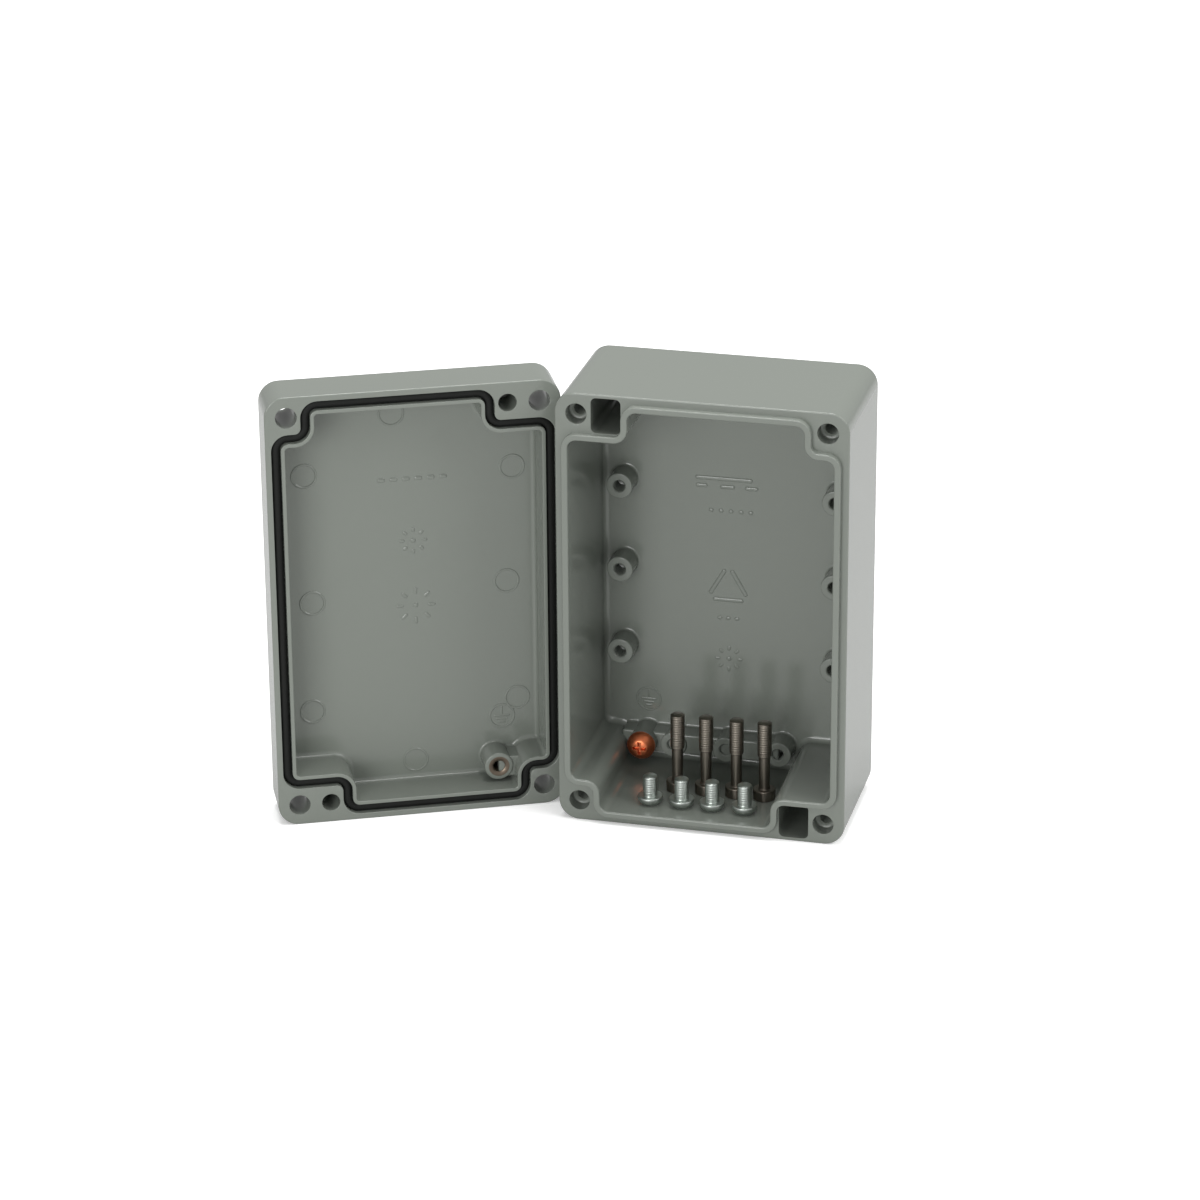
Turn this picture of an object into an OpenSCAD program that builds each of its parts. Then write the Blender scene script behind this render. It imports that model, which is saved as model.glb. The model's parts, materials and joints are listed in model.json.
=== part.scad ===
// Die cast aluminium enclosure, opened up: the base stands on one short side, its lid stands
// beside it, and the lid screws and mounting-plate screws stand on their heads inside the base.
// Millimetres. X runs across the base, Y from its rim to its back, Z up. The origin is the centre
// of the base's foot. Every drawing of a rim is in (x, height) and goes through slab().

/* [Enclosure] */
// Width of the base and the lid
width = 80; // [76:1:120]
// Height of the base and the lid as they stand
height = 125; // [110:1:200]
// Depth of the base, from its rim to its back
base_depth = 41; // [36:1:80]
// Depth of the lid, from its rim to its outer face
lid_depth = 16; // [15:0.5:24]
// Radius of the four upright corners of the outline
corner_radius = 5.6; // [4:0.1:8]
// Rounding round the back of the base
base_edge_radius = 2.1; // [1:0.1:3]
// Rounding round the outer face of the lid
lid_edge_radius = 2.4; // [1:0.1:3]
// Thickness of the base's back wall
back_wall = 3; // [2.5:0.1:5]
// Thickness of the lid's outer wall
lid_wall = 3; // [2.5:0.1:5]

/* [Seal] */
// Distance from the long outer sides to the middle of the seal line
seal_inset_side = 2.9; // [2.6:0.1:4]
// Distance from the short outer sides to the middle of the seal line
seal_inset_end = 3; // [2.6:0.1:4]
// Width of the raised tongue round the base's cavity
tongue_width = 1.8; // [1.2:0.1:2]
// Height of the raised tongue above the base's rim
tongue_height = 1.9; // [1:0.1:2.2]
// Width of the gasket groove in the lid
groove_width = 2.6; // [2.2:0.1:2.8]
// Depth of the gasket groove in the lid
groove_depth = 3.4; // [2.6:0.1:4]
// Height of the gasket cord
gasket_height = 2.3; // [1.8:0.1:2.5]
// Gap between the gasket cord and each side of its groove
gasket_clearance = 0.1; // [0.05:0.05:0.2]
// Width of the lip between the gasket groove and the lid's cavity
lip_width = 1.05; // [0.8:0.05:2]
// Radius of the seal line where it turns round a corner block
seal_corner_radius = 3; // [2.6:0.1:4]
// Radius of the seal line where it meets a wall again
seal_fillet_radius = 3.3; // [2.8:0.1:4]

/* [Corner blocks] */
// Height of the corner blocks at the seal line, from the short outer side
block_height = 12; // [11.8:0.1:14]
// Width at the seal line of the two blocks that hold only a screw hole
narrow_block_width = 11; // [10.8:0.1:13]
// Width at the seal line of the two blocks that hold a wall-fixing channel too
wide_block_width = 19.3; // [19.2:0.1:22]
// Distance of the lid screw holes from both outer sides of the corner
screw_inset = 5.85; // [5.7:0.05:6]
// Radius of the clearance hole through the lid, and of the recess in the base
screw_clearance_radius = 2.9; // [2.4:0.1:3]
// Depth of the recess before the threaded hole in the base
screw_recess_depth = 4.2; // [3:0.1:6]
// Radius of the seat for a screw head in the lid's outer face
head_seat_radius = 3.4; // [3.2:0.1:3.4]
// Depth of the seat for a screw head in the lid's outer face
head_seat_depth = 5; // [4:0.1:6]
// Length of thread cut in the base's corners
corner_thread_length = 11; // [8:0.5:16]

/* [Wall fixing] */
// Distance of the wall-fixing holes from the long outer sides
fixing_inset_side = 14; // [13.9:0.05:14.2]
// Distance of the wall-fixing holes from the short outer sides
fixing_inset_end = 5.95; // [5.9:0.05:6.1]
// Width of the channel in front of a wall-fixing hole
channel_width = 8.2; // [7:0.1:8.2]
// Height of the channel in front of a wall-fixing hole
channel_height = 9.9; // [8:0.1:9.9]
// Radius of the channel's corners
channel_corner_radius = 1.5; // [1:0.1:2.5]
// Radius of the wall-fixing holes
fixing_hole_radius = 2.4; // [2:0.1:3]
// Thickness of the wall that a wall-fixing screw clamps
fixing_wall = 4; // [3:0.5:8]
// Radius of the blind holes in the lid, opposite the channels
blind_hole_radius = 2.5; // [2:0.1:2.5]
// Depth of those blind holes
blind_hole_depth = 11; // [6:0.5:12]
// Distance of those blind holes from the long outer sides
blind_hole_inset = 14.5; // [14:0.1:14.8]

/* [Bosses] */
// Height of the bosses above the base's back wall
boss_height = 7; // [5:0.5:12]
// Radius of the bosses
boss_radius = 3.7; // [3:0.1:4]
// Distance of the two side columns of bosses from the middle
boss_column_x = 30.2; // [28:0.1:31]
// Spacing of the bosses in a side column
boss_column_pitch = 24.7; // [18:0.1:30]
// Height of the bottom row of bosses above the foot
boss_row_z = 10.7; // [9.5:0.1:12]
// Spacing of the bosses in the bottom row
boss_row_pitch = 15; // [10:0.5:16]
// Height of the rail that links the bottom row
rail_height = 6; // [4:0.5:6.5]
// How far the rail lies back from the faces of the bosses
rail_setback = 1; // [0.5:0.5:3]
// Radius of the threaded holes in the bosses and the base's corners
tapped_radius = 1.65; // [1.5:0.05:1.7]
// Depth of the threaded holes in the bosses
boss_thread_depth = 5.5; // [4:0.5:8]
// Distance of the base's earth boss from the long outer side
earth_boss_inset = 16.3; // [16.3:0.1:17.5]
// How much further the base's earth boss stands out than the other bosses
earth_boss_extra = 1.4; // [0:0.1:2]
// Radius of the two earth bosses
earth_boss_radius = 4; // [3.7:0.1:4]
// Distance of the lid's earth boss from the middle
lid_earth_x = 22.3; // [20:0.1:22.5]
// Height of the lid's earth boss above the foot
lid_earth_z = 10.1; // [10:0.1:12]
// How far the lid's earth boss lies behind the lid's rim
lid_earth_setback = 5; // [4:0.5:7]

/* [Screws] */
// Nominal diameter of every thread
thread_diameter = 4; // [3.6:0.1:4]
// Length of a lid screw under its head
lid_screw_length = 20; // [16:1:24]
// Length of the thread on a lid screw
lid_screw_thread_length = 10; // [8:1:12]
// Diameter of a lid screw's plain shank
lid_screw_shank_diameter = 3.1; // [2.4:0.1:3.2]
// Diameter of a lid screw's head
lid_screw_head_diameter = 6.2; // [5.5:0.1:6.6]
// Height of a lid screw's head
lid_screw_head_height = 3; // [2.4:0.1:4]
// Length of a mounting-plate screw under its head
plate_screw_length = 6; // [4:0.5:12]
// Diameter of a mounting-plate screw's head
plate_screw_head_diameter = 7; // [6:0.1:7.4]
// Height of a mounting-plate screw's head
plate_screw_head_height = 2.6; // [2:0.1:3.2]
// Length of the earth screw under its head
earth_screw_length = 6; // [4:0.5:7]
// Diameter of the earth screw's head
earth_screw_head_diameter = 8; // [6:0.1:8.4]
// Height of the earth screw's head
earth_screw_head_height = 3.1; // [2:0.1:3.4]
// Height of the cylindrical edge of a domed head
head_rim = 1; // [0.6:0.1:1.4]
// Gap between the earth screw's thread and its hole
thread_clearance = 0.05; // [0.02:0.01:0.1]

/* [Placing] */
// Turn of the lid beside the base, in degrees
lid_turn = 24.8; // [0:0.1:30]
// Gap between the base's side and the nearest corner of the lid
lid_gap = 0.9; // [0.5:0.1:0.9]
// How far the middle of the lid's rim stands in front of the base's rim
lid_forward = 6.5; // [0:0.1:12]
// How far the row of lid screws stands behind the base's rim
lid_screw_row_y = 17; // [14.5:0.1:22]
// How far the row of mounting-plate screws stands behind the base's rim
plate_screw_row_y = 6.5; // [4:0.1:8]

/* [Hidden] */
$fn = 64;
// How far a cut runs past the face that it opens
past = 1;
// How far a boss or rail runs into the wall that carries it
root = 1;
tongue_half = tongue_width / 2;
groove_half = groove_width / 2;
gasket_half = groove_half - gasket_clearance;
lid_cavity_step = groove_half + lip_width;
base_floor_y = base_depth - back_wall;
lid_floor_y = lid_depth - lid_wall;
boss_face_y = base_floor_y - boss_height;
earth_face_y = boss_face_y - earth_boss_extra;
inner_floor_z = seal_inset_end + tongue_half;
screw_x = width / 2 - screw_inset;
fixing_x = width / 2 - fixing_inset_side;
blind_x = width / 2 - blind_hole_inset;
earth_boss_x = width / 2 - earth_boss_inset;
recess_depth = 1.4;
recess_slot = 0.9;
// Where each loose screw stands along its row, from the middle of the base
lid_screw_xs = width * [-0.13, -0.02875, 0.07875, 0.1775];
plate_screw_xs = width * [-0.19625, -0.085, 0.0225, 0.13625];
casting_colour = [0.53, 0.56, 0.53];
gasket_colour = [0.1, 0.11, 0.1];
stainless_colour = [0.52, 0.5, 0.46];
zinc_colour = [0.78, 0.82, 0.82];
copper_colour = [0.78, 0.3, 0.13];

// A drawing in (x, height) made solid between two distances behind the rim
module slab(y_from, y_to) {
    translate([0, y_to, 0]) rotate([90, 0, 0]) linear_extrude(y_to - y_from) children();
}

// A round hole or peg along Y
module round_y(x, z, y_from, y_to, radius) {
    translate([x, y_to, z]) rotate([90, 0, 0]) cylinder(h = y_to - y_from, r = radius);
}

module rounded_rectangle(w, h, radius) {
    translate([-w / 2 + radius, 0]) square([w - 2 * radius, h]);
    translate([-w / 2, radius]) square([w, h - 2 * radius]);
    for (x = [-1, 1], z = [radius, h - radius]) translate([x * (w / 2 - radius), z]) circle(radius);
}

// The outside of a casting: rounded upright corners, and a rounded edge round its closed face
module casting_blank(depth, edge) {
    slab(0, depth - edge) rounded_rectangle(width, height, corner_radius);
    translate([0, 0, edge]) slab(0, depth)
        rounded_rectangle(width - 2 * edge, height - 2 * edge, corner_radius - edge);
    x_straight = width / 2 - corner_radius;
    z_straight = height - 2 * corner_radius;
    for (x = [-1, 1]) translate([x * (width / 2 - edge), depth - edge, corner_radius])
        cylinder(h = z_straight, r = edge);
    for (z = [edge, height - edge]) translate([-x_straight, depth - edge, z])
        rotate([0, 90, 0]) cylinder(h = 2 * x_straight, r = edge);
    for (x = [-1, 1], z = [corner_radius, height - corner_radius])
        translate([x * x_straight, depth - edge, z]) rotate([90, 0, 0])
            rotate_extrude() translate([corner_radius - edge, 0]) circle(edge);
}

// The corner left when a circle is cut out of a square, for filling an inner corner
module fillet_corner(radius) {
    difference() {
        square(radius);
        translate([radius, radius]) circle(radius);
    }
}

// One corner block, drawn out from the outline's corner, with its free corner rounded
module corner_block(w, h, corner, fillet) {
    difference() {
        square([w, h]);
        translate([w, h]) rotate(180) fillet_corner(corner);
    }
    translate([w, 0]) fillet_corner(fillet);
    translate([0, h]) fillet_corner(fillet);
}

// The seal line's closed outline, moved inwards by step (outwards if step is negative)
module seal_outline(step) {
    side = seal_inset_side + step;
    end = seal_inset_end + step;
    corner = seal_corner_radius + step;
    fillet = seal_fillet_radius - step;
    difference() {
        translate([-width / 2 + side, end]) square([width - 2 * side, height - 2 * end]);
        for (turn = [0, 1]) translate([0, turn * height]) rotate(turn * 180) {
            translate([-width / 2 + side, end]) corner_block(
                narrow_block_width + step - side, block_height + step - end, corner, fillet);
            translate([width / 2 - side, end]) mirror([1, 0]) corner_block(
                wide_block_width + step - side, block_height + step - end, corner, fillet);
        }
    }
}

module channel_outline() {
    translate([0, -channel_height / 2])
        rounded_rectangle(channel_width, channel_height, channel_corner_radius);
}

module base() {
    side_boss_zs = [for (i = [-1, 0, 1]) height / 2 + i * boss_column_pitch];
    row_xs = [for (i = [-1, 0, 1]) i * boss_row_pitch];
    color(casting_colour) translate([0, -base_depth / 2, 0]) difference() {
        union() {
            difference() {
                union() {
                    casting_blank(base_depth, base_edge_radius);
                    slab(-tongue_height, root) seal_outline(-tongue_half);
                }
                slab(-tongue_height - past, base_floor_y) seal_outline(tongue_half);
            }
            for (side = [-1, 1], z = side_boss_zs)
                round_y(side * boss_column_x, z, boss_face_y, base_floor_y + root, boss_radius);
            for (x = row_xs) round_y(x, boss_row_z, boss_face_y, base_floor_y + root, boss_radius);
            round_y(-earth_boss_x, boss_row_z, earth_face_y, base_floor_y + root, earth_boss_radius);
            rail_from = -width / 2 + narrow_block_width;
            translate([rail_from, boss_face_y + rail_setback, boss_row_z - rail_height / 2])
                cube([boss_row_pitch - rail_from, boss_height - rail_setback + root, rail_height]);
        }
        for (x = [-screw_x, screw_x], z = [screw_inset, height - screw_inset]) {
            round_y(x, z, -past, screw_recess_depth, screw_clearance_radius);
            round_y(x, z, 0, screw_recess_depth + corner_thread_length, tapped_radius);
        }
        for (turn = [0, 1]) translate([0, 0, turn * height]) rotate([0, turn * 180, 0]) {
            slab(-past, base_depth - fixing_wall)
                translate([fixing_x, fixing_inset_end]) channel_outline();
            round_y(fixing_x, fixing_inset_end, 0, base_depth + past, fixing_hole_radius);
        }
        for (side = [-1, 1], z = side_boss_zs) round_y(side * boss_column_x, z,
            boss_face_y - past, boss_face_y + boss_thread_depth, tapped_radius);
        for (x = row_xs) round_y(x, boss_row_z,
            boss_face_y - past, boss_face_y + boss_thread_depth, tapped_radius);
        round_y(-earth_boss_x, boss_row_z, earth_face_y - past,
            boss_face_y + boss_thread_depth, thread_diameter / 2 + thread_clearance);
    }
}

// What belongs to the lid, set where the lid stands
module on_lid() {
    half = width / 2;
    lid_x = -half - lid_gap - half * cos(lid_turn);
    translate([lid_x, -base_depth / 2 - lid_forward, 0]) rotate([0, 0, lid_turn]) children();
}

// The lid faces the other way from the base, so its seal line is the base's mirrored
module lid_seal_outline(step) {
    mirror([1, 0]) seal_outline(step);
}

module lid() {
    boss_hole_end = lid_depth - lid_wall + root;
    web_reach = width / 2 - narrow_block_width - lid_earth_x;
    color(casting_colour) on_lid() difference() {
        union() {
            difference() {
                casting_blank(lid_depth, lid_edge_radius);
                slab(-past, lid_floor_y) lid_seal_outline(lid_cavity_step);
                slab(-past, groove_depth) difference() {
                    lid_seal_outline(-groove_half);
                    lid_seal_outline(groove_half);
                }
            }
            round_y(lid_earth_x, lid_earth_z, lid_earth_setback, lid_floor_y + root,
                earth_boss_radius);
            translate([lid_earth_x, lid_earth_setback + rail_setback / 2,
                       lid_earth_z - rail_height / 2 - rail_setback / 2])
                cube([web_reach, lid_floor_y + root - lid_earth_setback - rail_setback / 2,
                      rail_height]);
        }
        for (x = [-screw_x, screw_x], z = [screw_inset, height - screw_inset]) {
            round_y(x, z, -past, lid_depth, screw_clearance_radius);
            round_y(x, z, lid_depth - head_seat_depth, lid_depth + past, head_seat_radius);
        }
        for (turn = [0, 1]) translate([0, 0, turn * height]) rotate([0, turn * 180, 0])
            round_y(-blind_x, screw_inset, -past, blind_hole_depth, blind_hole_radius);
        round_y(lid_earth_x, lid_earth_z, lid_earth_setback - past, boss_hole_end, tapped_radius);
    }
}

module gasket() {
    color(gasket_colour) on_lid() slab(groove_depth - gasket_height, groove_depth) difference() {
        lid_seal_outline(-gasket_half);
        lid_seal_outline(gasket_half);
    }
}

// A cross recess cut up into a head from below
module cross_recess(width_across) {
    for (turn = [0, 90]) rotate(turn)
        translate([-width_across / 2, -recess_slot / 2, -past])
            cube([width_across, recess_slot, recess_depth + past]);
}

// A screw with a domed head, standing on its head
module domed_screw(length, head_d, head_h) {
    dome = head_h - head_rim;
    flat = thread_diameter / 2;
    // Radius of the dome that falls from the flat crown to the head's edge
    dome_radius = (pow(head_d / 2, 2) - pow(flat, 2) + dome * dome) / (2 * dome);
    crown_height = sqrt(dome_radius * dome_radius + flat * flat);
    difference() {
        union() {
            intersection() {
                cylinder(h = head_h, d = head_d);
                translate([0, 0, crown_height]) sphere(r = sqrt(pow(crown_height, 2) + pow(flat, 2)));
            }
            translate([0, 0, head_h / 2]) cylinder(h = head_h / 2 + length, d = thread_diameter);
        }
        cross_recess(thread_diameter);
    }
}

module lid_screw(i) {
    color(stainless_colour) translate([
        lid_screw_xs[i - 1], lid_screw_row_y - base_depth / 2, inner_floor_z])
        difference() {
            union() {
                cylinder(h = lid_screw_head_height, d = lid_screw_head_diameter);
                cylinder(h = lid_screw_head_height + lid_screw_length - lid_screw_thread_length / 2,
                    d = lid_screw_shank_diameter);
                translate([0, 0, lid_screw_head_height + lid_screw_length - lid_screw_thread_length])
                    cylinder(h = lid_screw_thread_length, d = thread_diameter);
            }
            translate([-lid_screw_head_diameter, -recess_slot / 2, -past])
                cube([2 * lid_screw_head_diameter, recess_slot, recess_depth + past]);
        }
}

module plate_screw(i) {
    color(zinc_colour) translate([
        plate_screw_xs[i - 1], plate_screw_row_y - base_depth / 2, inner_floor_z])
        domed_screw(plate_screw_length, plate_screw_head_diameter, plate_screw_head_height);
}

module earth_screw() {
    color(copper_colour) translate([
        -earth_boss_x, earth_face_y - earth_screw_head_height - base_depth / 2, boss_row_z])
        rotate([-90, 0, 0])
            domed_screw(earth_screw_length, earth_screw_head_diameter, earth_screw_head_height);
}

base();
lid();
gasket();
earth_screw();
for (i = [1:4]) {
    lid_screw(i);
    plate_screw(i);
}
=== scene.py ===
"""A die cast aluminium box, opened: the base stands on a short side with the lid standing beside
it, and the lid screws and mounting-plate screws stand on their heads inside the base.

Every casting is a closed surface built in its own directions: u across, w from the open rim to
the back, and v up from the foot. place() then sets it in the row frame. Lengths are in metres.
"""

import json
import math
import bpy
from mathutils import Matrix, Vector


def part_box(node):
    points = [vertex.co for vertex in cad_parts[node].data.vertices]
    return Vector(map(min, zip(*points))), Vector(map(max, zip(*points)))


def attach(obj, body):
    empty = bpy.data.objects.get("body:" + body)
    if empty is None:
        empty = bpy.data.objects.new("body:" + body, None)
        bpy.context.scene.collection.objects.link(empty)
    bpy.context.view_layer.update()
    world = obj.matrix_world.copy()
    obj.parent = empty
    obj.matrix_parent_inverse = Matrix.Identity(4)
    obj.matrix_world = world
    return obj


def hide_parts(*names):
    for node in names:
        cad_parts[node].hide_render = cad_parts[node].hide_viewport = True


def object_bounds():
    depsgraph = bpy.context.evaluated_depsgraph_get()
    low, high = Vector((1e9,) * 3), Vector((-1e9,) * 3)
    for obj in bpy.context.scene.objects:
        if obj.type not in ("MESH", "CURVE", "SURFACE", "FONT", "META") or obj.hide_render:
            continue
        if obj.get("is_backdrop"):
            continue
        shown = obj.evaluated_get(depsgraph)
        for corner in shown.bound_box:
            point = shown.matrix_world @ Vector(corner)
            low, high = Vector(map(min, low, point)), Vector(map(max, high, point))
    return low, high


bl_info = {
    "name": "Die Cast Aluminium Box",
    "version": (1, 0, 0),
    "blender": (4, 5, 0),
    "location": "3D View > Sidebar > Die Cast Box",
    "description": "Builds an opened die cast aluminium box with its lid, gasket and screws",
    "category": "Add Mesh",
}

import bmesh
import bpy
import numpy as np
from mathutils import Matrix, Vector
from mathutils.geometry import delaunay_2d_cdt

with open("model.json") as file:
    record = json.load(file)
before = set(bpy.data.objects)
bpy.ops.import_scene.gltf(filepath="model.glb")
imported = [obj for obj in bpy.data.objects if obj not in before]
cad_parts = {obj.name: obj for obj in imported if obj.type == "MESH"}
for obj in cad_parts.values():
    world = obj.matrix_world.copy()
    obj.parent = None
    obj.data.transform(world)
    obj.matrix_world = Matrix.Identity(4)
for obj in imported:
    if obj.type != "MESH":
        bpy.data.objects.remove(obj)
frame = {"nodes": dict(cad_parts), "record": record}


def to_linear(code):
    """The linear colour of an sRGB hex code, with a full alpha."""
    values = [int(code[i:i + 2], 16) / 255 for i in (0, 2, 4)]
    return [v / 12.92 if v <= 0.04045 else ((v + 0.055) / 1.055) ** 2.4 for v in values] + [1.0]


def length(name, default, description):
    """A length property in metres."""
    return bpy.props.FloatProperty(
        name=name, description=description, default=default, min=0.0, unit="LENGTH", precision=5)


def share(name, default, description):
    """A number from 0 to 1."""
    return bpy.props.FloatProperty(
        name=name, description=description, default=default, min=0.0, max=1.0, subtype="FACTOR")


def angle(name, default, description):
    """An angle property, given in degrees."""
    return bpy.props.FloatProperty(
        name=name, description=description, default=math.radians(default), subtype="ANGLE")


def power(name, default, description):
    """A light's power in watts."""
    return bpy.props.FloatProperty(
        name=name, description=description, default=default, min=0.0, subtype="POWER")


def colour(name, code, description):
    """A colour property, given as an sRGB hex code."""
    return bpy.props.FloatVectorProperty(
        name=name, description=description, default=to_linear(code), size=4,
        min=0.0, max=1.0, subtype="COLOR")


# --------------------------------------------------------------------------------------------
# Settings
# --------------------------------------------------------------------------------------------

class CastingSettings(bpy.types.PropertyGroup):
    """The base's and the lid's own shape."""
    base_depth: length("Base depth", 0.041, "From the base's rim to its back")
    lid_depth: length("Lid depth", 0.016, "From the lid's rim to its back")
    wall: length("Back wall", 0.003, "Thickness of the base's and the lid's back")
    corner_radius: length("Corner radius", 0.0056, "Radius of the four long outer edges")
    rim_rounding: length("Rim rounding", 0.0004, "Rounding of the outer edge of both rims")
    base_edge: length("Base edge", 0.0021, "Rounding round the base's back")
    lid_edge: length("Lid edge", 0.0024, "Rounding round the lid's back")
    floor_fillet: length("Floor fillet", 0.0015, "Fillet between the inner walls and the back wall")
    lid_fillet: length("Lid fillet", 0.0012, "Fillet between the lid's inner walls and its back")
    narrow_block: length("Narrow block", 0.011, "Width of a corner block that holds one screw")
    wide_block: length("Wide block", 0.0193, "Width of a corner block with a fixing channel")
    block_height: length("Block height", 0.012, "Height of every corner block")
    screw_inset: length("Screw inset", 0.00585, "From the outer sides to a lid screw's hole")


class SealSettings(bpy.types.PropertyGroup):
    """The tongue round the base's cavity, and the lid's groove and gasket."""
    inset_side: length("Side inset", 0.0029, "From the long sides to the middle of the seal")
    inset_end: length("End inset", 0.003, "From the short sides to the middle of the seal")
    corner: length("Block corner", 0.003, "Radius of the seal line round a corner block")
    bend: length("Inner corner", 0.0033, "Radius of the seal line in the cavity's corners")
    tongue_width: length("Tongue width", 0.0018, "Width of the raised tongue")
    tongue_height: length("Tongue height", 0.0019, "Height of the tongue above the rim")
    tongue_outer: length("Tongue outer edge", 0.0003, "Rounding of the tongue's outer edge")
    tongue_inner: length("Tongue inner edge", 0.0005, "Rounding of the tongue's inner edge")
    groove_width: length("Groove width", 0.0026, "Width of the lid's groove")
    groove_depth: length("Groove depth", 0.0034, "Depth of the lid's groove")
    groove_edge: length("Groove edge", 0.0002, "Rounding of the groove's and the lip's edges")
    lip_width: length("Lip width", 0.00105, "Width of the lip between groove and cavity")
    gasket_width: length("Gasket width", 0.0024, "Width of the gasket cord")
    gasket_height: length("Gasket height", 0.0023, "Height of the gasket cord")
    gasket_crown: length("Gasket crown", 0.0007, "Height of the gasket's rounded crown")


class HoleSettings(bpy.types.PropertyGroup):
    """The holes and channels of both castings."""
    clearance: length("Screw clearance", 0.0029, "Radius of a lid screw's recess and hole")
    recess: length("Recess depth", 0.0042, "Depth of the recess over each thread in the base")
    seat_radius: length("Head seat radius", 0.0034, "Radius of a head seat in the lid's back")
    seat_depth: length("Head seat depth", 0.005, "Depth of a head seat in the lid's back")
    blind_radius: length("Blind hole radius", 0.0025, "Radius of the lid's blind holes")
    blind_depth: length("Blind hole depth", 0.011, "Depth of the lid's blind holes")
    blind_inset: length("Blind hole inset", 0.0145, "From the long side to a blind hole")
    fixing_radius: length("Fixing hole radius", 0.0024, "Radius of a wall-fixing hole")
    fixing_inset_u: length("Fixing side inset", 0.014, "From the long side to a fixing channel")
    fixing_inset_v: length("Fixing end inset", 0.00595, "From the short side to a fixing channel")
    fixing_wall: length("Fixing wall", 0.004, "Thickness left at the bottom of a channel")
    channel_width: length("Channel width", 0.0082, "Width of a wall-fixing channel")
    channel_height: length("Channel height", 0.0099, "Height of a wall-fixing channel")
    channel_corner: length("Channel corner", 0.0015, "Corner radius of a wall-fixing channel")
    core: length("Thread core", 0.00165, "Core radius of the tapped holes")
    crest: length("Thread crest", 0.00195, "Outside radius of the tapped holes' threads")
    pitch: length("Thread pitch", 0.0007, "Pitch of every thread")
    corner_thread: length("Corner thread", 0.011, "Length of the threads in the base's corners")
    boss_thread: length("Boss thread", 0.0055, "Length of the threads in the bosses")
    mouth: length("Mouth rounding", 0.0001, "Rounding of the holes' and channels' edges")
    inner_edge: length("Inner edge", 0.0004, "Rounding of the edges inside the holes")


class BossSettings(bpy.types.PropertyGroup):
    """The mounting bosses, the rail that joins the lower row, and the earth bosses."""
    radius: length("Boss radius", 0.0037, "Radius of a mounting boss")
    height: length("Boss height", 0.007, "Height of a mounting boss over the back wall")
    column_x: length("Column distance", 0.0302, "From the middle to each column of bosses")
    column_pitch: length("Column pitch", 0.0247, "Distance between bosses in a column")
    row_v: length("Row height", 0.0107, "Height of the lower row above the foot")
    row_pitch: length("Row pitch", 0.015, "Distance between bosses in the lower row")
    rail_height: length("Rail height", 0.006, "Height of the rail behind the lower row")
    rail_setback: length("Rail setback", 0.001, "How far the rail lies behind the boss faces")
    rail_edge: length("Rail edge", 0.0006, "Rounding of the rail's front edges")
    rail_corner: length("Rail corner", 0.0008, "Radius of the rail's corners, seen from the front")
    earth_radius: length("Earth boss radius", 0.004, "Radius of the earth bosses")
    earth_extra: length("Earth boss extra", 0.0014, "How much further the base's earth boss stands")
    lid_earth_setback: length("Lid earth setback", 0.005, "From the lid's rim to its earth boss")
    lid_earth_u: length("Lid earth side", 0.0223, "From the lid's middle to its earth boss")
    lid_earth_v: length("Lid earth height", 0.0101, "From the foot to the lid's earth boss")
    bare_radius: length("Bare face radius", 0.0029, "Radius of the machined face of the lid's boss")
    edge: length("Boss edge", 0.0004, "Rounding of the bosses' edges")
    foot: length("Boss foot", 0.0006, "Fillet where a boss meets the back wall")


class ScrewSettings(bpy.types.PropertyGroup):
    """The loose screws and the earth screw."""
    thread_radius: length("Thread radius", 0.002, "Outside radius of every screw thread")
    thread_depth: length("Thread depth", 0.00007, "Depth of every screw thread")
    lid_thread: length("Lid screw thread", 0.01, "Length of a lid screw's thread")
    shank_radius: length("Shank radius", 0.00162, "Radius of a lid screw's shank at its collar")
    waist_radius: length("Waist radius", 0.0015, "Radius of a lid screw's shank at its head")
    lid_head: length("Lid screw head", 0.003, "Height of a lid screw's head")
    plate_head: length("Plate screw head", 0.0026, "Height of a mounting-plate screw's head")
    earth_head: length("Earth screw head", 0.0031, "Height of the earth screw's head")
    head_rim: length("Head rim", 0.001, "Height of the straight rim of a domed head")
    slot: length("Slot width", 0.0009, "Width of the slots and cross recesses")
    slot_depth: length("Slot depth", 0.0014, "Depth of the lid screws' slots")
    cross_depth: length("Cross depth", 0.0009, "Depth of the cross recesses")
    taper: length("Cross taper", 0.0005, "How far a cross recess's arms close in on the way down")
    edge: length("Head edge", 0.00025, "Rounding of the heads' edges")


class MarkSettings(bpy.types.PropertyGroup):
    """The low raised marks cast on the back walls. None of them is a letter or a digit."""
    ring: length("Ring height", 0.00018, "Height of a raised ring over the wall")
    crown: angle("Mark crown", 48, "Steepest slope of a mark's rounded section")
    line: length("Line width", 0.0006, "Width of a mark's raised lines")
    bar: length("Bar height", 0.0013, "Height of a tall raised bar, seen from the front")
    dial_radius: length("Rosette radius", 0.0042, "Radius of the rosette of short bars")
    earth_radius: length("Earth mark radius", 0.0034, "Radius of the earth marks' rings")
    pin_radius: length("Pin mark radius", 0.0033, "Radius of the ejector pins' marks")


class FinishSettings(bpy.types.PropertyGroup):
    """The colours and the surface grain."""
    coat: colour("Powder coat", "747972", "Silver-grey powder coat of both castings")
    coat_roughness: share("Coat roughness", 0.18, "Roughness of the powder coat")
    grain: length("Coat grain", 0.0003, "Size of the coat's fine orange peel")
    bare: colour("Bare aluminium", "71665A", "Machined aluminium, faintly brown")
    rubber: colour("Rubber", "121412", "Black rubber of the gasket")
    stainless: colour("Stainless steel", "79736A", "Warm grey of the lid screws")
    zinc: colour("Zinc", "B4BAB5", "Bright zinc of the mounting-plate screws")
    copper: colour("Copper finish", "D87C54", "Copper red of the earth screw")


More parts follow.
